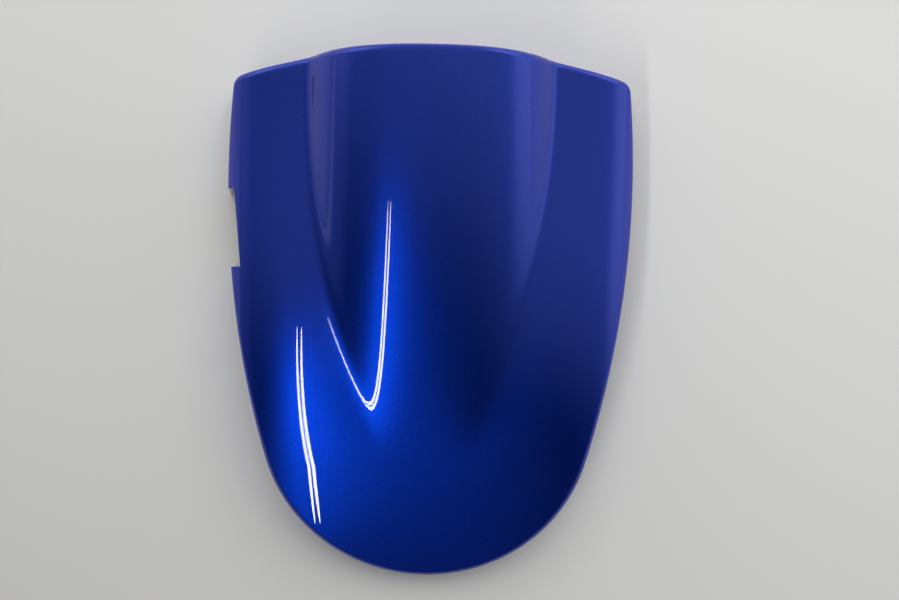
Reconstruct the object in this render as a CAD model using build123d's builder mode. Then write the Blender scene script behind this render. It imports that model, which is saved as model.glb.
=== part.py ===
import os
from math import asin, atan2, cos, degrees, hypot, pi, radians, sqrt, tan

from build123d import *

os.makedirs("parts", exist_ok=True)

# Frame: X to the rider's right, Y towards the front of the machine, Z up.
# The rim lies on Z = 0 and the origin is the middle of the rim's box. Millimetres and degrees.

# Plan of the rim
rim_length = 327.0
rim_width = 263.0
widest_setback = 70.0  # from the front to where the two sides are furthest apart
side_radius = 620.0
front_half_width = 68.0  # of the straight front edge under the hump
front_sweep = 11.0  # of the edge under each wing
front_bend_radius = 80.0

# Walls
wall = 3.0
side_lean = 9.5  # sides and tail, from upright
front_lean = 1.0
corner_radius = 8.0  # front corners in plan
fold_radius = 5.5  # where the top folds over into the walls

# Ridge line along the middle
ridge_height = 90.0
ridge_top_setback = 42.0
tail_edge_height = 16.0

# Hump between the two creases
hump_rise = 38.0  # above the wings at the front
hump_full_setback = 17.0
hump_fade_reach = 76.0  # from the tail to where the hump has run out
hump_crown_share = 0.5  # part of the rise that falls as a round crown, the rest as a flank
hump_flank_power = 4
crease_half_width = 74.0  # at the front
crease_front_setback = 15.0
crease_radius = 500.0  # of each crease in plan
crease_end_half_width = 24.0
crease_end_blend = 8.0
crease_softness = 0.12  # concave rounding of the crease, as a share of the rise
crease_fade_softness = 0.35  # more of it where the hump runs out

# Wings
wing_margin = 5.5  # how far outside the rim a wing would meet the ground
wing_narrowing_radius = 2600.0
wing_power = 5.5  # flat inside, rolling down outside

# Notch in the left edge
notch_setback = 106.0  # from the front to its middle
notch_length = 48.5
notch_depth = 13.5  # in from the rim, at its middle
notch_turn = 7.5  # of its inner side, against the centre line
notch_corner_radius = 1.5

# Screw bosses on the inside
boss_side_inset = 45.5
boss_front_inset = 52.0
boss_tail_inset = 105.0
boss_radius = 6.0
boss_mouth_height = 10.0
pilot_radius = 2.1
pilot_depth = 18.0
gusset_thickness = 2.4
gusset_step = 5.0  # from a boss mouth up to its gusset

front_y = rim_length / 2
tail_y = -rim_length / 2
widest_y = front_y - widest_setback
ridge_top_y = front_y - ridge_top_setback
hump_full_y = front_y - hump_full_setback
hump_fade_y = tail_y + hump_fade_reach
crease_front_y = front_y - crease_front_setback
notch_y = front_y - notch_setback
boss_x = rim_width / 2 - boss_side_inset
boss_front_y = front_y - boss_front_inset
boss_tail_y = tail_y + boss_tail_inset

# The tail arc is tangent to both side arcs and passes through the tail tip
side_offset = side_radius - rim_width / 2  # from the middle to a side arc's centre
reach = widest_y - tail_y
tail_radius = (side_radius**2 - side_offset**2 - reach**2) / (2 * (side_radius - reach))
tail_centre_y = tail_y + tail_radius
tangent_angle = degrees(atan2(widest_y - tail_centre_y, side_offset))

# The block that the skin is cut from
block_x = rim_width / 2 + 2 * fold_radius
block_height = ridge_height + 2 * fold_radius
block_front_y = front_y + 2 * block_height * tan(radians(side_lean))


def ridge_z(y):
    drop = (ridge_top_y - y) / (ridge_top_y - tail_y)
    return ridge_height - (ridge_height - tail_edge_height) * drop**2


def hump_share(y):
    return min(max((y - hump_fade_y) / (hump_full_y - hump_fade_y), 0), 1)


def rise_z(y):
    return hump_rise * (1 - cos(pi * hump_share(y))) / 2


def crease_x(y):
    arc = crease_half_width - (crease_front_y - y) ** 2 / (2 * crease_radius)
    end = crease_end_half_width
    return (arc + end + hypot(arc - end, crease_end_blend)) / 2


def wing_x(y):
    return rim_width / 2 + wing_margin - (widest_y - y) ** 2 / (2 * wing_narrowing_radius)


def skin_z(x, y):
    across = abs(x) / crease_x(y)
    fall = hump_crown_share * across**2 + (1 - hump_crown_share) * across**hump_flank_power
    softness = crease_softness + crease_fade_softness * (1 - hump_share(y)) ** 2
    hump = rise_z(y) * (1 - fall + hypot(1 - fall, softness)) / 2
    wing = (ridge_z(y) - rise_z(y)) * sqrt(1 - (abs(x) / wing_x(y)) ** wing_power)
    return wing + hump


def sunk_skin_z(x, y, inset):
    # The inset is measured square to the skin
    step = wall / 10
    slope_x = (skin_z(x + step, y) - skin_z(x - step, y)) / (2 * step)
    slope_y = (skin_z(x, y + step) - skin_z(x, y - step)) / (2 * step)
    return skin_z(x, y) - inset * sqrt(1 + slope_x**2 + slope_y**2)


# Stations across one half of a section: shares of the crease, then of the wing outside it
crease_shares = (0.25, 0.5, 0.7, 0.84, 0.93, 1.0, 1.07, 1.17, 1.32)
wing_shares = (0.3, 0.55, 0.8, 1.0)
wing_end_share = 0.92

section_count = 15
section_overrun = 12.0
section_step = (rim_length + 2 * section_overrun) / (section_count - 1)
section_places = [tail_y - section_overrun + index * section_step for index in range(section_count)]


def half_stations(y):
    inner = [share * crease_x(y) for share in crease_shares]
    outer_x = wing_end_share * wing_x(y)
    return inner + [inner[-1] + share * (outer_x - inner[-1]) for share in wing_shares]


def section(y, inset):
    half = half_stations(y)
    stations = [-x for x in reversed(half)] + [0] + half
    shelf = sunk_skin_z(half[-1], y, inset)
    block = [(block_x, shelf), (block_x, -wall), (-block_x, -wall), (-block_x, shelf)]
    with BuildSketch(Plane.XZ.offset(-y)) as profile:
        with BuildLine():
            top = Spline(*[(x, sunk_skin_z(x, y, inset)) for x in stations])
            Polyline(top @ 1, *block, top @ 0)
        make_face()
    return profile.sketch


def plan(inset):
    # Sides and tail, with the sides running on past the front
    side = side_radius - inset / cos(radians(side_lean))
    tail = tail_radius - inset / cos(radians(side_lean))
    run_out = degrees(asin((block_front_y - widest_y) / side_radius))
    sweep = tangent_angle + run_out
    with BuildSketch() as outline:
        with BuildLine():
            CenterArc((0, tail_centre_y), tail, 180 + tangent_angle, 180 - 2 * tangent_angle)
            right = CenterArc((-side_offset, widest_y), side, -tangent_angle, sweep)
            left = CenterArc((side_offset, widest_y), side, 180 - run_out, sweep)
            Line(right @ 1, left @ 0)
        make_face()
    return outline.sketch


def front_plan(inset):
    # Straight under the hump, then swept back under each wing
    swept_y = front_y - (block_x - front_half_width) * tan(radians(front_sweep))
    back_y = tail_y - 2 * fold_radius
    with BuildSketch() as outline:
        with BuildLine():
            Polyline(
                (block_x, back_y),
                (block_x, swept_y),
                (front_half_width, front_y),
                (-front_half_width, front_y),
                (-block_x, swept_y),
                (-block_x, back_y),
                close=True,
            )
        make_face()
        fillet(outline.vertices().group_by(Axis.Y)[-1], front_bend_radius)
        offset(amount=-inset / cos(radians(front_lean)), mode=Mode.REPLACE)
    return outline.sketch


def form(inset):
    # The closed outside of the cowl, or its hollow when the inset is the wall
    with BuildPart() as body:
        extrude(plan(inset), amount=block_height, taper=side_lean)
        extrude(front_plan(inset), amount=block_height, taper=front_lean, mode=Mode.INTERSECT)
        upright = body.edges().filter_by(lambda edge: edge.bounding_box().size.Z > wall)
        front_upright = upright.filter_by(lambda edge: edge.center().Y > widest_y)
        fillet(front_upright.group_by(lambda edge: abs(edge.center().X))[-1], corner_radius - inset)
        loft([section(y, inset) for y in section_places], mode=Mode.INTERSECT)
        fillet(body.faces().sort_by(Axis.Z)[-1].edges(), fold_radius - inset)
    return body.part


boss_places = [(x, y) for x in (-boss_x, boss_x) for y in (boss_tail_y, boss_front_y)]

# The space under the cowl, with the bosses and their gussets left standing in it
with BuildPart() as hollow:
    add(form(wall))
    with BuildSketch(Plane.XY.offset(boss_mouth_height)):
        with Locations(*boss_places):
            Circle(boss_radius)
    extrude(amount=block_height, mode=Mode.SUBTRACT)
    with BuildSketch(Plane.XY.offset(boss_mouth_height + gusset_step)):
        for x, y in boss_places:
            towards_wall = Align.MIN if x > 0 else Align.MAX
            with Locations((x, y)):
                Rectangle(rim_width / 2, gusset_thickness, align=(towards_wall, Align.CENTER))
    extrude(amount=block_height, mode=Mode.SUBTRACT)
    with BuildSketch(Plane.XY.offset(boss_mouth_height)):
        with Locations(*boss_places):
            Circle(pilot_radius)
    extrude(amount=pilot_depth)

with BuildPart() as seat_cowl:
    add(form(0))
    add(hollow.part, mode=Mode.SUBTRACT)

    # Notch, cut straight down through the edge
    half_notch = notch_length / 2
    notch_slant = half_notch * tan(radians(notch_turn))
    notch_x = notch_depth - rim_width / 2
    with BuildSketch():
        with BuildLine():
            Polyline(
                (-block_x, notch_y + half_notch),
                (notch_x - notch_slant, notch_y + half_notch),
                (notch_x + notch_slant, notch_y - half_notch),
                (-block_x, notch_y - half_notch),
                close=True,
            )
        notch = make_face()
        fillet(notch.vertices().sort_by(Axis.X)[-2:], notch_corner_radius)
    extrude(amount=block_height, mode=Mode.SUBTRACT)

seat_cowl.part.label = "seat_cowl"
export_step(seat_cowl.part, "parts/seat_cowl.step")
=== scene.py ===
import math

import bpy
import numpy as np
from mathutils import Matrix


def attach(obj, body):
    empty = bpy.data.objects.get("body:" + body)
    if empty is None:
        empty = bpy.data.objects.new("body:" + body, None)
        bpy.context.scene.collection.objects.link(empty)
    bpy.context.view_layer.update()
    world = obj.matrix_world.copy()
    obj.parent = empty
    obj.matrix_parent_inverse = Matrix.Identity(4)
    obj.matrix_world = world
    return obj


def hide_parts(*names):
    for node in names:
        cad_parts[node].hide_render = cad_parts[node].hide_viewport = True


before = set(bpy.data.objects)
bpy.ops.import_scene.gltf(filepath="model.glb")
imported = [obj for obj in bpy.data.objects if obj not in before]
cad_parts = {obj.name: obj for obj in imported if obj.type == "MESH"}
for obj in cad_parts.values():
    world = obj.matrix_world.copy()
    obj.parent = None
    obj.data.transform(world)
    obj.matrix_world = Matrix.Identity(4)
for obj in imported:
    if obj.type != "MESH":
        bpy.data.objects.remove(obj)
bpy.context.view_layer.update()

mm = 0.001
print("frame loaded:", sorted(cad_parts))

# sizes of the cowl in millimetres and degrees, X right, Y front, Z up
cowl = {
    "length": 327.0,
    "width": 263.0,
    "widestSetback": 70.0,
    "sideRadius": 620.0,
    "frontHalf": 68.0,
    "frontSweep": 11.0,
    "frontBend": 80.0,
    "wall": 3.0,
    "sideLean": 9.5,
    "frontLean": 1.0,
    "cornerRadius": 8.0,
    "foldRadius": 5.5,
    "edgeRound": 0.7,  # painted edge of the rim and the notch
    "ridgeHeight": 90.0,
    "ridgeTopSetback": 42.0,
    "tailEdge": 16.0,
    "humpRise": 38.0,
    "humpFullSetback": 17.0,
    "humpFadeReach": 76.0,
    "crownShare": 0.5,
    "flankPower": 4.0,
    "creaseHalf": 74.0,
    "creaseSetback": 15.0,
    "creaseRadius": 500.0,
    "creaseEndHalf": 24.0,
    "creaseEndBlend": 8.0,
    "creaseSoft": 0.12,
    "creaseFadeSoft": 0.35,
    "wingMargin": 5.5,
    "wingNarrowing": 2600.0,
    "wingPower": 5.5,
    "notchSetback": 106.0,
    "notchLength": 48.5,
    "notchDepth": 13.5,
    "notchTurn": 7.5,
}
# how finely the skin is divided, tail = sweep + bend + middle + half a corner
cells = {
    "tail": 64, "sideRear": 46, "notch": 32, "sideFront": 26, "corner": 10, "sweep": 20, "bend": 7, "middle": 32,
    "strip": 5, "outside": 4, "fold": 8, "wall": 9, "edge": 4,
}
# how the fold and the notch are worked out
solve = {
    "slopeStep": 0.05,  # for the skin's slope, in millimetres
    "leastRoot": 1e-6,  # of the wing's fall, past its outer end
    "ballSteps": 14,
    "halvings": 40,
    "highestFold": 110.0,
    "slideColumns": 25,  # beside the notch, moved with its ends
    "slideReach": 7.0,
    "stripElsewhere": 0.6,  # share of the strip above the cut, far from the notch
}
# the crown's border inside the fold, drawn in across and from both ends
crown = {"across": 0.88, "along": 0.3, "fromFront": 95.0, "fromTail": -60.0}

frontY = cowl["length"] / 2
tailY = -frontY
widestY = frontY - cowl["widestSetback"]
ridgeTopY = frontY - cowl["ridgeTopSetback"]
humpFullY = frontY - cowl["humpFullSetback"]
humpFadeY = tailY + cowl["humpFadeReach"]
creaseFrontY = frontY - cowl["creaseSetback"]
sideOffset = cowl["sideRadius"] - cowl["width"] / 2
tailReach = widestY - tailY
tailRadius = (cowl["sideRadius"] ** 2 - sideOffset**2 - tailReach**2) / (2 * (cowl["sideRadius"] - tailReach))
tailCentreY = tailY + tailRadius
tangentAngle = math.atan2(widestY - tailCentreY, sideOffset)
sideLean = math.radians(cowl["sideLean"])
frontLean = math.radians(cowl["frontLean"])
sweep = math.radians(cowl["frontSweep"])
bendX = cowl["frontHalf"] - cowl["frontBend"] * math.tan(sweep / 2)
bendY = frontY - cowl["frontBend"]


def ridgeZ(y):
    drop = (ridgeTopY - y) / (ridgeTopY - tailY)
    return cowl["ridgeHeight"] - (cowl["ridgeHeight"] - cowl["tailEdge"]) * drop**2


def humpShare(y):
    return np.clip((y - humpFadeY) / (humpFullY - humpFadeY), 0, 1)


def riseZ(y):
    return cowl["humpRise"] * (1 - np.cos(np.pi * humpShare(y))) / 2


def creaseX(y):
    arc = cowl["creaseHalf"] - (creaseFrontY - y) ** 2 / (2 * cowl["creaseRadius"])
    end = cowl["creaseEndHalf"]
    return (arc + end + np.hypot(arc - end, cowl["creaseEndBlend"])) / 2


def wingX(y):
    return cowl["width"] / 2 + cowl["wingMargin"] - (widestY - y) ** 2 / (2 * cowl["wingNarrowing"])


def skinZ(x, y):
    across = np.abs(x) / creaseX(y)
    fall = cowl["crownShare"] * across**2 + (1 - cowl["crownShare"]) * across ** cowl["flankPower"]
    soft = cowl["creaseSoft"] + cowl["creaseFadeSoft"] * (1 - humpShare(y)) ** 2
    hump = riseZ(y) * (1 - fall + np.hypot(1 - fall, soft)) / 2
    inside = np.maximum(1 - (np.abs(x) / wingX(y)) ** cowl["wingPower"], solve["leastRoot"])
    return (ridgeZ(y) - riseZ(y)) * np.sqrt(inside) + hump


def unit(v):
    return v / np.linalg.norm(v, axis=-1, keepdims=True)


def skinNormal(x, y):
    step = solve["slopeStep"]
    slopeX = (skinZ(x + step, y) - skinZ(x - step, y)) / (2 * step)
    slopeY = (skinZ(x, y + step) - skinZ(x, y - step)) / (2 * step)
    return unit(np.stack([-slopeX, -slopeY, np.ones_like(slopeX)], -1))


def turnBetween(a, b, share):
    # even turn from one unit vector to another
    angle = np.arccos(np.clip((a * b).sum(-1, keepdims=True), -1, 1))
    return (np.sin((1 - share) * angle) * a + np.sin(share * angle) * b) / np.sin(angle)


def spread(start, stop, count):
    return np.linspace(start, stop, count + 1)


# columns round the rim: from the tail tip up the right side to the middle of the front, then mirrored
edge = cowl["edgeRound"]
notchY = frontY - cowl["notchSetback"]
notchFront = notchY + cowl["notchLength"] / 2
notchTail = notchY - cowl["notchLength"] / 2


def sideAngle(y):
    return np.arcsin((y - widestY) / cowl["sideRadius"])


notchPlaces = spread(notchTail - edge, notchFront + edge, cells["notch"])
notchAngles = sideAngle(notchPlaces)
kinds, shares = [], []
for kind, values in (("tail", spread(-np.pi / 2, -tangentAngle, cells["tail"])[:-1]),
                     ("side", spread(-tangentAngle, notchAngles[0], cells["sideRear"])[:-1]),
                     ("side", notchAngles),
                     ("sideFront", spread(0, 1, cells["sideFront"])[1:-1]),
                     ("corner", spread(0, 1, cells["corner"])),
                     ("sweep", spread(0, 1, cells["sweep"])[1:-1]),
                     ("bend", spread(0, 1, cells["bend"])),
                     ("middle", spread(0, 1, cells["middle"])[1:])):
    kinds += [kind] * len(values)
    shares += list(values)
kinds, shares = np.array(kinds), np.array(shares)
halfCount = len(kinds)
rimKinds = np.concatenate([kinds, kinds[1:-1][::-1]])
rimShares = np.concatenate([shares, shares[1:-1][::-1]])
rimSide = np.concatenate([np.ones(halfCount), -np.ones(halfCount - 2)])
rimCount = len(rimKinds)
# columns of the notch on the left, counted from its front end
notchColumns = rimCount - (cells["tail"] + cells["sideRear"] + cells["notch"]) + np.arange(cells["notch"] + 1)


def rimWall(z):
    # points of the outer wall at height z in every column, with their outward direction and lean
    z = np.broadcast_to(np.asarray(z, float), (rimCount,))
    radius = cowl["cornerRadius"]
    sideR = cowl["sideRadius"] - z * np.tan(sideLean)
    bendR = cowl["frontBend"] - z * np.tan(frontLean)
    facing = np.array([np.sin(sweep), np.cos(sweep)])  # of the swept front
    along = np.array([np.cos(sweep), -np.sin(sweep)])
    bendEnd = np.array([bendX, bendY]) + bendR[:, None] * facing
    # centre of the front corner at each height, where a ball touches the side and the swept front
    start = bendEnd - radius * facing - np.array([-sideOffset, widestY])
    half = (start * along).sum(-1)
    run = -half + np.sqrt(half**2 - (start**2).sum(-1) + (sideR - radius) ** 2)
    corner = bendEnd - radius * facing + run[:, None] * along
    cornerStart = np.arctan2(corner[:, 1] - widestY, corner[:, 0] + sideOffset)
    frontAngle = np.pi / 2 - sweep
    isKind = {kind: rimKinds == kind for kind in ("tail", "sideFront", "corner", "sweep", "bend", "middle")}
    angle = np.select(
        [isKind["sideFront"], isKind["corner"], isKind["sweep"], isKind["bend"], isKind["middle"]],
        [notchAngles[-1] + rimShares * (cornerStart - notchAngles[-1]),
         cornerStart + rimShares * (frontAngle - cornerStart),
         frontAngle, frontAngle + rimShares * sweep, np.pi / 2], rimShares)
    outX, outY = np.cos(angle), np.sin(angle)
    sweepPoint = corner + radius * facing + rimShares[:, None] * (bendEnd - corner - radius * facing)
    x = np.select([isKind["tail"], isKind["corner"], isKind["sweep"], isKind["bend"], isKind["middle"]],
                  [(tailRadius - z * np.tan(sideLean)) * outX, corner[:, 0] + radius * outX, sweepPoint[:, 0],
                   bendX + bendR * outX, bendX * (1 - rimShares)], sideR * outX - sideOffset)
    y = np.select([isKind["tail"], isKind["corner"], isKind["sweep"], isKind["bend"] | isKind["middle"]],
                  [tailCentreY + (tailRadius - z * np.tan(sideLean)) * outY, corner[:, 1] + radius * outY,
                   sweepPoint[:, 1], bendY + bendR * outY], sideR * outY + widestY)
    isFront = isKind["sweep"] | isKind["bend"] | isKind["middle"]
    cornerLean = sideLean + rimShares * (frontLean - sideLean)
    lean = np.select([isKind["corner"], isFront], [cornerLean, frontLean], sideLean)
    point = np.stack([x * rimSide, y, z], -1)
    normal = np.stack([outX * rimSide * np.cos(lean), outY * np.cos(lean), np.sin(lean)], -1)
    return point, normal, lean


# a ball rolled along the inside of the fold gives the fold's arc in every column
def ballCentre(z):
    point, normal, _ = rimWall(z)
    return point - cowl["foldRadius"] * normal, normal


def skinUnderBall(centre):
    x, y = centre[:, 0], centre[:, 1]
    for _ in range(solve["ballSteps"]):  # half a step each time, so that it settles
        normal = skinNormal(x, y)
        x = 0.5 * x + 0.5 * (centre[:, 0] + cowl["foldRadius"] * normal[:, 0])
        y = 0.5 * y + 0.5 * (centre[:, 1] + cowl["foldRadius"] * normal[:, 1])
    normal = skinNormal(x, y)
    height = skinZ(x, y) - cowl["foldRadius"] * normal[:, 2]
    return x, y, normal, height


low, high = np.zeros(rimCount), np.full(rimCount, solve["highestFold"])
for _ in range(solve["halvings"]):
    middle = (low + high) / 2
    above = middle > skinUnderBall(ballCentre(middle)[0])[3] + cowl["foldRadius"] * rimWall(middle)[1][:, 2]
    low, high = np.where(above, low, middle), np.where(above, middle, high)
foldCentre, wallNormal = ballCentre((low + high) / 2)
crownX, crownY, crownNormal, foldHeight = skinUnderBall(foldCentre)
foldCentre[:, 2] = foldHeight
wallLean = rimWall(0)[2]
print("fold solved on", rimCount, "columns, up to", foldHeight.max().round(1), "mm")

# a strip of the crown goes with the fold, so that the notch can cut into it
contact = np.stack([crownX, crownY], -1)
pastFront = np.maximum(crownY - crown["fromFront"], 0)
pastTail = np.minimum(crownY - crown["fromTail"], 0)
ring = np.stack([crown["across"] * crownX, crownY - crown["along"] * pastFront - crown["along"] * pastTail], -1)


def profile(u, inset, foot):
    # u runs 0 to 1 over the strip, to 2 round the fold and to 3 down the wall, one value a column
    u = np.broadcast_to(np.asarray(u, float), (rimCount,))
    plan = ring + np.clip(u, 0, 1)[:, None] * (contact - ring)
    skin = skinNormal(plan[:, 0], plan[:, 1])
    strip = np.column_stack([plan, skinZ(plan[:, 0], plan[:, 1])]) - inset * skin
    turned = turnBetween(crownNormal, wallNormal, np.clip(u - 1, 0, 1)[:, None])
    fold = foldCentre + (cowl["foldRadius"] - inset) * turned
    top = foldCentre[:, 2] + (cowl["foldRadius"] - inset) * wallNormal[:, 2]
    wall = rimWall(top + np.clip(u - 2, 0, 1) * (foot - top))[0]
    wall = wall - inset * wallNormal * [1, 1, 0] / np.cos(wallLean)[:, None] ** 2
    pick = np.stack([u <= 1, u <= 2])[..., None]
    return np.select(list(pick), [strip, fold], wall), np.select(list(pick), [skin, turned], wallNormal)


# the notch: two square ends and an inner side that runs a little aslant
notchSlope = math.tan(math.radians(cowl["notchTurn"]))


def notchSideX(y, gap):
    return cowl["notchDepth"] - cowl["width"] / 2 - (y - notchY) * notchSlope + gap


alongRim = np.stack([-wallNormal[:, 1] * rimSide, np.abs(wallNormal[:, 0]), 0 * rimSide], -1)
alongRim = unit(alongRim + [0, 1e-9, 0])


def columnsBeside(end, step):
    columns = (end + step * np.arange(solve["slideColumns"] + 1)) % rimCount
    line = np.column_stack([contact, foldHeight])[columns]
    return columns[1:], np.cumsum(np.linalg.norm(np.diff(line, axis=0), axis=-1))


def bands(inset, gap):
    foot = gap * (1 + np.sin(wallLean))
    frontEnd, tailEnd = notchFront + gap, notchTail - gap
    wanted = spread(frontEnd, tailEnd, cells["notch"])
    first, last = notchColumns[0], notchColumns[-1]
    ends = ((first, -1, frontEnd), (last, 1, tailEnd))

    def slid(u, lowerBand):
        # slides the columns at the notch along the surface, so that they end on its sides
        points, normals = profile(u, inset, foot)
        move = np.zeros(rimCount)
        if lowerBand:
            for end, _, place in ends:
                move[end] = (place - points[end, 1]) / alongRim[end, 1]
        else:
            move[notchColumns] = (wanted - points[notchColumns, 1]) / alongRim[notchColumns, 1]
        for end, step, _ in ends:
            columns, away = columnsBeside(end, step)
            move[columns] = move[end] * np.exp(-away / solve["slideReach"])
        return points + move[:, None] * alongRim, normals

    # where the strip meets the notch's inner side
    low, high = np.zeros(rimCount), np.full(rimCount, 2.0)
    for _ in range(solve["halvings"]):
        u = (low + high) / 2
        points = slid(u, False)[0]
        inside = points[:, 0] > notchSideX(points[:, 1], gap)
        low, high = np.where(inside, u, low), np.where(inside, high, u)
    cut = np.interp(np.arange(rimCount), [0, first, last, rimCount],
                    [solve["stripElsewhere"], low[first], low[last], solve["stripElsewhere"]])
    cut[notchColumns] = low[notchColumns]
    upper = [profile(0, inset, foot)] + [slid(t * cut, False) for t in spread(0, 1, cells["strip"])[1:]]
    # the first rows keep their places, the last ones take the notch's
    for i, t in enumerate(spread(0, 1, cells["strip"])[1:-1], 1):
        still = profile(t * cut, inset, foot)[0]
        upper[i] = (still + t**2 * (upper[i][0] - still), upper[i][1])
    steps = [cut + t * (1 - cut) for t in spread(0, 1, cells["outside"])[1:]]
    steps += list(spread(1, 2, cells["fold"])[1:]) + list(spread(2, 3, cells["wall"])[1:])
    lower = [upper[-1]] + [slid(u, True) for u in steps]
    return [np.array(rows) for rows in (*zip(*upper), *zip(*lower))]


def edgeLoop(upper, lower):
    # round the rim once, up and over the notch on the way
    first, last = notchColumns[0], notchColumns[-1]
    return np.concatenate([lower[-1][: first + 1], lower[::-1][1:, first], upper[-1][first + 1: last],
                           lower[:, last], lower[-1][last + 1:]])


# crown inside the strip, as an even four-sided patch
def crownPatch(border, inset):
    across, deep = 2 * cells["tail"], (rimCount - 4 * cells["tail"]) // 2
    order = (np.arange(rimCount) + cells["tail"]) % rimCount

    def sides(loop):
        right, front = loop[: deep + 1], loop[deep: deep + across + 1][::-1]
        left = loop[deep + across: 2 * deep + across + 1][::-1]
        return right, front, left, np.concatenate([loop[2 * deep + across:], loop[:1]])

    right, front, left, tail = sides(ring[order])
    v, u = np.meshgrid(spread(0, 1, deep), spread(0, 1, across), indexing="ij")
    u, v = u[..., None], v[..., None]
    plan = (1 - v) * tail[None] + v * front[None] + (1 - u) * left[:, None] + u * right[:, None]
    plan -= (1 - u) * (1 - v) * tail[0] + u * (1 - v) * tail[-1] + (1 - u) * v * front[0] + u * v * front[-1]
    x, y = plan[..., 0], plan[..., 1]
    normal = skinNormal(x, y)
    points = np.stack([x, y, skinZ(x, y)], -1) - inset * normal
    points[:, -1], points[-1], points[:, 0], points[0] = sides(border[order])
    return points, normal


patches = []  # points, normals, closed round the rim, material


def addPatch(points, normals, closed, material):
    patches.append((np.asarray(points), np.broadcast_to(normals, np.shape(points)), closed, material))


def addSkin(inset, gap, sign, material):
    upper, upperNormal, lower, lowerNormal = bands(inset, gap)
    points, normals = crownPatch(upper[0], inset)
    addPatch(points, sign * normals, False, material)
    addPatch(upper, sign * upperNormal, True, material)
    # the lower band stops at both ends of the notch
    order = np.arange(notchColumns[-1], notchColumns[0] + rimCount + 1) % rimCount
    addPatch(lower[:, order], sign * lowerNormal[:, order], False, material)
    return edgeLoop(upper, lower), edgeLoop(upperNormal, lowerNormal)


# which way the cut edge looks: down along the rim, into the notch beside it
def edgeFacing():
    rows = cells["outside"] + cells["fold"] + cells["wall"]
    turn = math.radians(cowl["notchTurn"])
    down, backward, forward = (0, 0, -1), (0, -1, 0), (0, 1, 0)
    outward = (-math.cos(turn), -math.sin(turn), 0)
    first, last = notchColumns[0], notchColumns[-1]
    runs = [(down, first + 1), (backward, rows), (outward, last - first - 1), (forward, rows + 1),
            (down, rimCount - last - 1)]
    facing = np.concatenate([np.tile(np.array(way, float), (count, 1)) for way, count in runs])
    places = np.cumsum([count for way, count in runs])[:-1] - 1
    places[2] += 1
    pairs = ((down, backward), (backward, outward), (outward, forward), (forward, down))
    for place, (a, b) in zip(places, pairs):
        facing[place] = unit(np.add(a, b))
    return facing


outerLine, outward = addSkin(0, edge, 1, 0)
innerLine, _ = addSkin(cowl["wall"], 0, -1, 1)
facing = edgeFacing()
edgeNormals = np.array([turnBetween(outward, facing, t) for t in spread(0, 1, cells["edge"])])
edgePoints = outerLine - edge * outward + edge * edgeNormals
addPatch(edgePoints, edgeNormals, True, 0)
addPatch(np.array([edgePoints[-1], innerLine]), facing, True, 0)


def meshFromPatches(name):
    corners, normals, materials = [], [], []
    for points, normal, closed, material in patches:
        rows, columns = points.shape[:2]
        a = np.arange(columns if closed else columns - 1)
        b = (a + 1) % columns
        for row in range(rows - 1):
            quad = np.stack([points[row, a], points[row, b], points[row + 1, b], points[row + 1, a]], 1)
            look = np.stack([normal[row, a], normal[row, b], normal[row + 1, b], normal[row + 1, a]], 1)
            turn = np.cross(quad[:, 2] - quad[:, 0], quad[:, 3] - quad[:, 1])
            wrong = (turn * look.sum(1)).sum(-1) < 0
            quad[wrong], look[wrong] = quad[wrong][:, ::-1], look[wrong][:, ::-1]
            corners.append(quad)
            normals.append(look)
            materials.append(np.full(len(quad), material))
    corners, normals, materials = np.concatenate(corners), np.concatenate(normals), np.concatenate(materials)
    flat = np.round(corners.reshape(-1, 3), 5)
    places, index = np.unique(flat, axis=0, return_inverse=True)
    quads = index.reshape(-1, 4)
    faces, looks, slots = [], [], []
    for quad, look, slot in zip(quads.tolist(), normals, materials.tolist()):
        keep = [i for i in range(4) if quad[i] != quad[i - 1]]
        if len(keep) >= 3:
            faces.append([quad[i] for i in keep])
            looks += [look[i] for i in keep]
            slots.append(slot)
    mesh = bpy.data.meshes.new(name)
    mesh.from_pydata((places * mm).tolist(), [], faces)
    mesh.polygons.foreach_set("material_index", slots)
    mesh.polygons.foreach_set("use_smooth", [True] * len(faces))
    mesh.update()
    mesh.normals_split_custom_set([tuple(v) for v in unit(np.array(looks))])
    return mesh


shell = bpy.data.objects.new("cowlShell", meshFromPatches("cowlShell"))
bpy.context.scene.collection.objects.link(shell)
print("shell mesh:", len(shell.data.vertices), "points,", len(shell.data.polygons), "faces")


# shared shader group: fine speckle and a slow drift, both from 0 to 1
def speckleGroup():
    group = bpy.data.node_groups.new("speckleAndDrift", "ShaderNodeTree")
    for label, value in (("Grains per metre", 3000.0), ("Drifts per metre", 20.0)):
        group.interface.new_socket(label, in_out="INPUT", socket_type="NodeSocketFloat").default_value = value
    for label in ("Speckle", "Grain Height", "Drift"):
        group.interface.new_socket(label, in_out="OUTPUT", socket_type="NodeSocketFloat")
    nodes, links = group.nodes, group.links
    start, end = nodes.new("NodeGroupInput"), nodes.new("NodeGroupOutput")
    place = nodes.new("ShaderNodeTexCoord")
    grains = nodes.new("ShaderNodeTexVoronoi")
    split = nodes.new("ShaderNodeSeparateColor")
    drift = nodes.new("ShaderNodeTexNoise")
    drift.inputs["Detail"].default_value = 3.0
    links.new(place.outputs["Object"], grains.inputs["Vector"])
    links.new(place.outputs["Object"], drift.inputs["Vector"])
    links.new(start.outputs["Grains per metre"], grains.inputs["Scale"])
    links.new(start.outputs["Drifts per metre"], drift.inputs["Scale"])
    links.new(grains.outputs["Color"], split.inputs[0])
    links.new(split.outputs[0], end.inputs["Speckle"])
    links.new(grains.outputs["Distance"], end.inputs["Grain Height"])
    links.new(drift.outputs["Fac"], end.inputs["Drift"])
    return group


speckleAndDrift = speckleGroup()
driftSpan = (0.3, 0.7)  # where most of the drift lies


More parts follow.
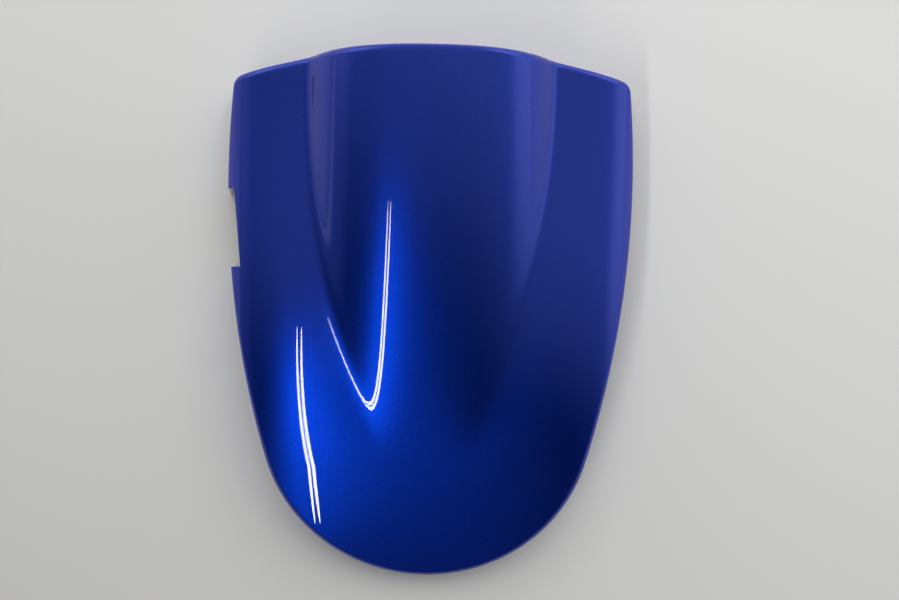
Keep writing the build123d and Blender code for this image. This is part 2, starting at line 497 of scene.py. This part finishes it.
def mapRange(tree, source, span, low, high):
    node = tree.nodes.new("ShaderNodeMapRange")
    ends = {"From Min": span[0], "From Max": span[1], "To Min": low, "To Max": high}
    for label, value in ends.items():
        node.inputs[label].default_value = value
    tree.links.new(source, node.inputs["Value"])
    return node


class Finish:
    # a material with its speckle group placed and a few short ways to add nodes

    def __init__(self, name, grains, drifts):
        self.material = bpy.data.materials.new(name)
        self.material.use_nodes = True
        self.nodes, self.links = self.material.node_tree.nodes, self.material.node_tree.links
        self.shader = self.nodes["Principled BSDF"]
        self.speckle = self.nodes.new("ShaderNodeGroup")
        self.speckle.node_tree = speckleAndDrift
        self.speckle.inputs["Grains per metre"].default_value = grains
        self.speckle.inputs["Drifts per metre"].default_value = drifts

    def set(self, values):
        for label, value in values.items():
            self.shader.inputs[label].default_value = value

    def feed(self, source, label):
        self.links.new(source, self.shader.inputs[label])

    def blend(self, share, first, second):
        mix = self.nodes.new("ShaderNodeMix")
        mix.data_type = "RGBA"
        self.links.new(share, mix.inputs["Factor"])
        for value, socket in ((first, mix.inputs["A"]), (second, mix.inputs["B"])):
            if isinstance(value, tuple):
                socket.default_value = (*value, 1)
            else:
                self.links.new(value, socket)
        return mix.outputs["Result"]

    def remap(self, source, span, low, high):
        return mapRange(self.material.node_tree, source, span, low, high).outputs["Result"]

    def bump(self, height, strength, distance):
        node = self.nodes.new("ShaderNodeBump")
        node.inputs["Strength"].default_value = strength
        node.inputs["Distance"].default_value = distance
        self.links.new(height, node.inputs["Height"])
        self.feed(node.outputs["Normal"], "Normal")


# blue metallic paint under clear coat
paintLook = {
    "deep": (0.0008, 0.027, 0.38),
    "flake": (0.0016, 0.047, 0.59),
    "grains": 3800.0,
    "drifts": 14.0,
    "flakeSpan": (0.1, 1.0),
    "rough": (0.33, 0.37),
    "flakeBump": 0.03,
    "flakeHeight": 0.0001,
    "shader": {"Metallic": 0.92, "Specular Tint": (0.02, 0.06, 0.45, 1), "Coat Weight": 1.0,
               "Coat Roughness": 0.008, "Coat IOR": 1.5},
}


def makePaint():
    paint = Finish("bluePaint", paintLook["grains"], paintLook["drifts"])
    paint.set(paintLook["shader"])
    speckle, drift = paint.speckle.outputs["Speckle"], paint.speckle.outputs["Drift"]
    flakes = paint.remap(speckle, paintLook["flakeSpan"], 0.0, 1.0)
    paint.feed(paint.blend(flakes, paintLook["deep"], paintLook["flake"]), "Base Color")
    paint.feed(paint.remap(drift, driftSpan, *paintLook["rough"]), "Roughness")
    paint.bump(speckle, paintLook["flakeBump"], paintLook["flakeHeight"])
    return paint.material


# bare moulding inside, with some overspray that came round the rim
plasticLook = {
    "bare": (0.016, 0.016, 0.018),
    "overspray": (0.007, 0.022, 0.13),
    "grains": 1600.0,
    "drifts": 45.0,
    "sprayReach": 0.009,
    "patchSpan": (0.35, 0.65),
    "thinnestPatch": 0.3,
    "rough": (0.48, 0.62),
    "grainBump": 0.25,
    "grainHeight": 0.0002,
}


def makePlastic():
    plastic = Finish("darkMoulding", plasticLook["grains"], plasticLook["drifts"])
    place = plastic.nodes.new("ShaderNodeTexCoord")
    split = plastic.nodes.new("ShaderNodeSeparateXYZ")
    plastic.links.new(place.outputs["Object"], split.inputs[0])
    drift = plastic.speckle.outputs["Drift"]
    patchy = plastic.nodes.new("ShaderNodeMath")
    patchy.operation = "MULTIPLY"
    near = plastic.remap(split.outputs["Z"], (0.0, plasticLook["sprayReach"]), 1.0, 0.0)
    patches = plastic.remap(drift, plasticLook["patchSpan"], plasticLook["thinnestPatch"], 1.0)
    plastic.links.new(near, patchy.inputs[0])
    plastic.links.new(patches, patchy.inputs[1])
    plastic.feed(plastic.blend(patchy.outputs[0], plasticLook["bare"], plasticLook["overspray"]), "Base Color")
    plastic.feed(plastic.remap(drift, driftSpan, *plasticLook["rough"]), "Roughness")
    plastic.bump(plastic.speckle.outputs["Grain Height"], plasticLook["grainBump"], plasticLook["grainHeight"])
    return plastic.material


bluePaint, darkMoulding = makePaint(), makePlastic()
shell.data.materials.append(bluePaint)
shell.data.materials.append(darkMoulding)
print("paint and moulding made")

# screw bosses under the cowl, each with a gusset out to the wall
bossLook = {
    "Across": 0.172,
    "Along": 0.170,
    "Middle": 0.0265,
    "Radius": 0.006,
    "Mouth": 0.010,
    "Pilot Radius": 0.0021,
    "Pilot Depth": 0.018,
    "Gusset Thickness": 0.0024,
    "Gusset Foot": 0.015,
}
bossMake = {
    "round": 48,
    "gusset": 40,
    "searchLength": 0.3,
    "sunkInSkin": 0.0003,
    "shortOfWall": 0.00005,
    "sharpAngle": 35.0,
}


class Tree:
    # a geometry node tree with short ways to place and join nodes

    def __init__(self, name, sizes):
        self.group = bpy.data.node_groups.new(name, "GeometryNodeTree")
        self.face = self.group.interface
        self.face.new_socket("Geometry", in_out="OUTPUT", socket_type="NodeSocketGeometry")
        for label in sizes:
            self.face.new_socket(label, in_out="INPUT", socket_type="NodeSocketFloat")
        self.face.new_socket("Skin", in_out="INPUT", socket_type="NodeSocketObject")
        self.face.new_socket("Finish", in_out="INPUT", socket_type="NodeSocketMaterial")
        self.start = self.group.nodes.new("NodeGroupInput").outputs

    def node(self, kind, inputs=None, **settings):
        made = self.group.nodes.new(kind)
        for label, value in settings.items():
            setattr(made, label, value)
        for label, value in (inputs or {}).items():
            socket = made.inputs[label]
            if isinstance(value, bpy.types.NodeSocket):
                self.group.links.new(value, socket)
            else:
                socket.default_value = value
        return made.outputs

    def calc(self, operation, first, second):
        return self.node("ShaderNodeMath", {0: first, 1: second}, operation=operation)[0]

    def vector(self, x=0.0, y=0.0, z=0.0):
        return self.node("ShaderNodeCombineXYZ", {"X": x, "Y": y, "Z": z})[0]

    def grid(self, sizeX, sizeY, countX, countY):
        return self.node("GeometryNodeMeshGrid", {
            "Size X": sizeX, "Size Y": sizeY, "Vertices X": countX, "Vertices Y": countY})["Mesh"]

    def moved(self, mesh, offset):
        return self.node("GeometryNodeTransform", {"Geometry": mesh, "Translation": offset})[0]

    def flipped(self, mesh):
        return self.node("GeometryNodeFlipFaces", {"Mesh": mesh})[0]

    def reach(self, source, direction):
        skin = self.node("GeometryNodeObjectInfo", {"Object": self.start["Skin"]}, transform_space="RELATIVE")
        return self.node("GeometryNodeRaycast", {
            "Target Geometry": skin["Geometry"], "Source Position": source,
            "Ray Direction": direction, "Ray Length": bossMake["searchLength"]})

    def raised(self, mesh):
        # stands the open border up to the skin above it
        shared = self.node("GeometryNodeInputMeshEdgeNeighbors")[0]
        border = self.node("FunctionNodeCompare", {"A": shared, "B": 1}, data_type="INT", operation="EQUAL")[0]
        walls = self.node("GeometryNodeExtrudeMesh", {
            "Mesh": mesh, "Selection": border, "Offset Scale": 0.0}, mode="EDGES")
        up = self.reach(self.node("GeometryNodeInputPosition")[0], (0, 0, 1))
        return self.node("GeometryNodeSetPosition", {
            "Geometry": walls["Mesh"], "Selection": walls["Top"], "Position": up["Hit Position"],
            "Offset": (0, 0, bossMake["sunkInSkin"])})[0]


def bossTree():
    tree = Tree("screwBosses", bossLook)
    size = tree.start
    # four places, the left ones turned round
    place = tree.node("GeometryNodeInputPosition")[0]
    x, y, z = tree.node("ShaderNodeSeparateXYZ", {0: place})
    onLeft = tree.node("FunctionNodeCompare", {"A": x, "B": 0.0}, operation="LESS_THAN")[0]
    turned = tree.vector(z=tree.calc("MULTIPLY", onLeft, math.pi))
    centred = tree.node("GeometryNodeSetPosition", {
        "Geometry": tree.grid(size["Across"], size["Along"], 2, 2), "Offset": tree.vector(y=size["Middle"])})[0]

    def atPlaces(shape):
        held = tree.node("GeometryNodeInstanceOnPoints", {
            "Points": centred, "Instance": shape, "Rotation": turned})[0]
        return tree.node("GeometryNodeRealizeInstances", {"Geometry": held})[0]

    # boss: a mouth that looks down, with the pilot hole sunk into it
    disc = tree.node("GeometryNodeMeshCircle", {
        "Vertices": bossMake["round"], "Radius": size["Radius"]}, fill_type="NGON")[0]
    inner = tree.node("GeometryNodeExtrudeMesh", {"Mesh": tree.flipped(disc), "Offset Scale": 0.0})
    narrowed = tree.node("GeometryNodeScaleElements", {
        "Geometry": inner["Mesh"], "Selection": inner["Top"],
        "Scale": tree.calc("DIVIDE", size["Pilot Radius"], size["Radius"])})[0]
    sunk = tree.node("GeometryNodeExtrudeMesh", {
        "Mesh": narrowed, "Selection": inner["Top"], "Offset": tree.vector(z=size["Pilot Depth"])})
    lifted = tree.moved(sunk["Mesh"], tree.vector(z=size["Mouth"]))
    bosses = tree.raised(atPlaces(lifted))

    # gusset: a strip of unit length, drawn out until it meets the wall
    strip = tree.flipped(tree.grid(1.0, size["Gusset Thickness"], bossMake["gusset"], 2))
    strip = tree.moved(strip, tree.vector(x=0.5, z=size["Gusset Foot"]))
    marked = tree.node("GeometryNodeStoreNamedAttribute", {
        "Geometry": strip, "Name": "share", "Value": x}, data_type="FLOAT", domain="POINT")[0]
    share = tree.node("GeometryNodeInputNamedAttribute", {"Name": "share"}, data_type="FLOAT")[0]
    way = tree.calc("SIGN", x, 0.0)
    root = tree.vector(tree.calc("MULTIPLY", way, tree.calc("MULTIPLY", size["Across"], 0.5)), y, z)
    out = tree.reach(root, tree.vector(x=way))
    toWall = tree.calc("SUBTRACT", out["Hit Distance"], bossMake["shortOfWall"])
    along = tree.calc("MULTIPLY", way, tree.calc("MULTIPLY", share, toWall))
    target = tree.node("ShaderNodeVectorMath", {0: root, 1: tree.vector(x=along)}, operation="ADD")[0]
    drawn = tree.node("GeometryNodeSetPosition", {"Geometry": atPlaces(marked), "Position": target})[0]
    gussets = tree.raised(drawn)

    both = tree.group.nodes.new("GeometryNodeJoinGeometry")
    for part in (bosses, gussets):
        tree.group.links.new(part, both.inputs[0])
    whole = tree.node("GeometryNodeRealizeInstances", {"Geometry": both.outputs[0]})[0]
    finished = tree.node("GeometryNodeSetMaterial", {"Geometry": whole, "Material": size["Finish"]})[0]
    tree.group.links.new(finished, tree.group.nodes.new("NodeGroupOutput").inputs[0])
    return tree.group


def makeBosses():
    bosses = bpy.data.objects.new("screwBosses", bpy.data.meshes.new("screwBosses"))
    bpy.context.scene.collection.objects.link(bosses)
    nodes = bosses.modifiers.new("bosses", "NODES")
    nodes.node_group = bossTree()
    values = {**bossLook, "Skin": shell, "Finish": darkMoulding}
    for item in nodes.node_group.interface.items_tree:
        if item.in_out == "INPUT":
            nodes[item.identifier] = values[item.name]
    made = bosses.evaluated_get(bpy.context.evaluated_depsgraph_get())
    mesh = bpy.data.meshes.new_from_object(made)
    bosses.modifiers.clear()
    bosses.data = mesh
    mesh.shade_smooth()
    mesh.set_sharp_from_angle(angle=math.radians(bossMake["sharpAngle"]))
    print("bosses:", len(mesh.polygons), "faces")
    return bosses


bosses = makeBosses()


# pale table top, a little greyer towards the tail and paler towards the front right: painted shade and painted
# light for how the room's light falls across it
table = {
    "halfSize": 25.0,
    "near": (0.50, 0.50, 0.48),
    "far": (0.84, 0.84, 0.83),
    "across": 0.5,
    "fade": 0.32,
    "grains": 900.0,
    "drifts": 6.0,
    "rough": (0.55, 0.7),
    "shine": 0.2,
    "grainBump": 0.05,
    "grainHeight": 0.0001,
}


def makeFloor():
    mesh = bpy.data.meshes.new("tableTop")
    half = table["halfSize"]
    corners = [(-half, -half, 0), (half, -half, 0), (half, half, 0), (-half, half, 0)]
    mesh.from_pydata(corners, [], [(0, 1, 2, 3)])
    top = bpy.data.objects.new("tableTop", mesh)
    bpy.context.scene.collection.objects.link(top)
    pale = Finish("paleTable", table["grains"], table["drifts"])
    place = pale.nodes.new("ShaderNodeTexCoord")
    paintedShadeSlope = pale.nodes.new("ShaderNodeVectorMath")
    paintedShadeSlope.operation = "DOT_PRODUCT"
    paintedShadeSlope.inputs[1].default_value = (table["across"], 1.0, 0.0)
    pale.links.new(place.outputs["Object"], paintedShadeSlope.inputs[0])
    # painted shade near the tail and painted light towards the front right, blended along this slope
    ahead = pale.remap(paintedShadeSlope.outputs["Value"], (-table["fade"], table["fade"]), 0.0, 1.0)
    pale.feed(pale.blend(ahead, table["near"], table["far"]), "Base Color")
    pale.feed(pale.remap(pale.speckle.outputs["Drift"], driftSpan, *table["rough"]), "Roughness")
    pale.set({"Specular IOR Level": table["shine"]})
    pale.bump(pale.speckle.outputs["Grain Height"], table["grainBump"], table["grainHeight"])
    mesh.materials.append(pale.material)


makeFloor()

# twin tube lamp overhead and a soft fill from the front, in a room that is dim behind the tail
lamp = {"x": -0.6, "z": 1.5, "near": -0.04, "far": -2.72, "tube": 0.044, "apart": 0.058, "watts": 6.2}
fill = {"tilt": (-38.0, 8.0, 0.0), "spread": 60.0, "strength": 1.9}
# levels by direction, each span from where a part starts to fade to where it ends
room = {
    "lean": 0.22,  # how far brightness turns to the right
    "dim": 0.03,
    "ceiling": 0.44,
    "ceilingAhead": (-0.5, 0.6),
    "walls": 0.5,
    "wallsTop": (0.22, 0.5),
    "wallsAhead": (-0.1, 0.5),
    "wallsAside": (0.25, 0.6),
    "wallsLeast": 0.1,
    "window": 0.6,
    "windowTop": (0.3, 0.45),
    "windowAhead": (0.5, 0.75),
    "windowAside": (0.3, 0.5),
    "horizon": 0.6,
    "horizonTop": (0.02, 0.16),
}


def makeLamp():
    for side in (-0.5, 0.5):
        data = bpy.data.lights.new("tubeLamp", "AREA")
        data.shape = "ELLIPSE"
        data.size, data.size_y = lamp["tube"], lamp["near"] - lamp["far"]
        data.energy = lamp["watts"]
        tube = bpy.data.objects.new("tubeLamp", data)
        tube.location = (lamp["x"] + side * lamp["apart"], (lamp["near"] + lamp["far"]) / 2, lamp["z"])
        bpy.context.scene.collection.objects.link(tube)


def makeFill():
    data = bpy.data.lights.new("softFill", "SUN")
    data.angle, data.energy = math.radians(fill["spread"]), fill["strength"]
    soft = bpy.data.objects.new("softFill", data)
    soft.rotation_euler = [math.radians(angle) for angle in fill["tilt"]]
    soft.visible_glossy = False
    bpy.context.scene.collection.objects.link(soft)


def makeRoom():
    world = bpy.data.worlds.new("room")
    bpy.context.scene.world = world
    world.use_nodes = True
    nodes, links = world.node_tree.nodes, world.node_tree.links
    split = nodes.new("ShaderNodeSeparateXYZ")
    links.new(nodes.new("ShaderNodeTexCoord").outputs["Generated"], split.inputs[0])
    x, y, z = split.outputs

    def fade(source, span, low, high):
        node = mapRange(world.node_tree, source, span, low, high)
        node.interpolation_type = "SMOOTHSTEP"
        return node.outputs["Result"]

    def join(operation, *sources):
        node = nodes.new("ShaderNodeMath")
        node.operation = operation
        for source, socket in zip(sources, node.inputs):
            if isinstance(source, float):
                socket.default_value = source
            else:
                links.new(source, socket)
        return node.outputs[0]

    aside = join("ABSOLUTE", x)
    ahead = join("ADD", y, join("MULTIPLY", x, room["lean"]))
    least = room["wallsLeast"]
    ceiling = fade(ahead, room["ceilingAhead"], room["dim"], room["ceiling"])
    walls = join("MULTIPLY", fade(z, room["wallsTop"], 1.0, 0.0),
                 fade(ahead, room["wallsAhead"], least, room["walls"]))
    walls = join("MULTIPLY", walls, fade(aside, room["wallsAside"], least, 1.0))
    window = join("MULTIPLY", fade(aside, room["windowAside"], 0.0, 1.0),
                  fade(y, room["windowAhead"], 0.0, room["window"]))
    window = join("MULTIPLY", window, fade(z, room["windowTop"], 1.0, 0.0))
    level = join("ADD", ceiling, join("ADD", walls, window))
    level = join("MAXIMUM", level, fade(z, room["horizonTop"], room["horizon"], 0.0))
    links.new(level, nodes["Background"].inputs["Strength"])
    nodes["Background"].inputs["Color"].default_value = (1, 1, 1, 1)


makeLamp()
makeFill()
makeRoom()
print("table, lamps and room made")

# camera straight above, turned a little with the photo
view = {"x": 0.0131, "y": 0.0150, "z": 0.686, "turn": 1.0, "lens": 42.0, "sensor": 36.0}
camera = bpy.data.objects.new("above", bpy.data.cameras.new("above"))
camera.data.lens, camera.data.sensor_width = view["lens"], view["sensor"]
camera.location = (view["x"], view["y"], view["z"])
camera.rotation_euler = (0, 0, math.radians(view["turn"]))
bpy.context.scene.collection.objects.link(camera)
bpy.context.scene.camera = camera
bpy.context.scene.view_settings.view_transform = "Standard"

for piece in (shell, bosses):
    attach(piece, "root")
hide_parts("seat_cowl")
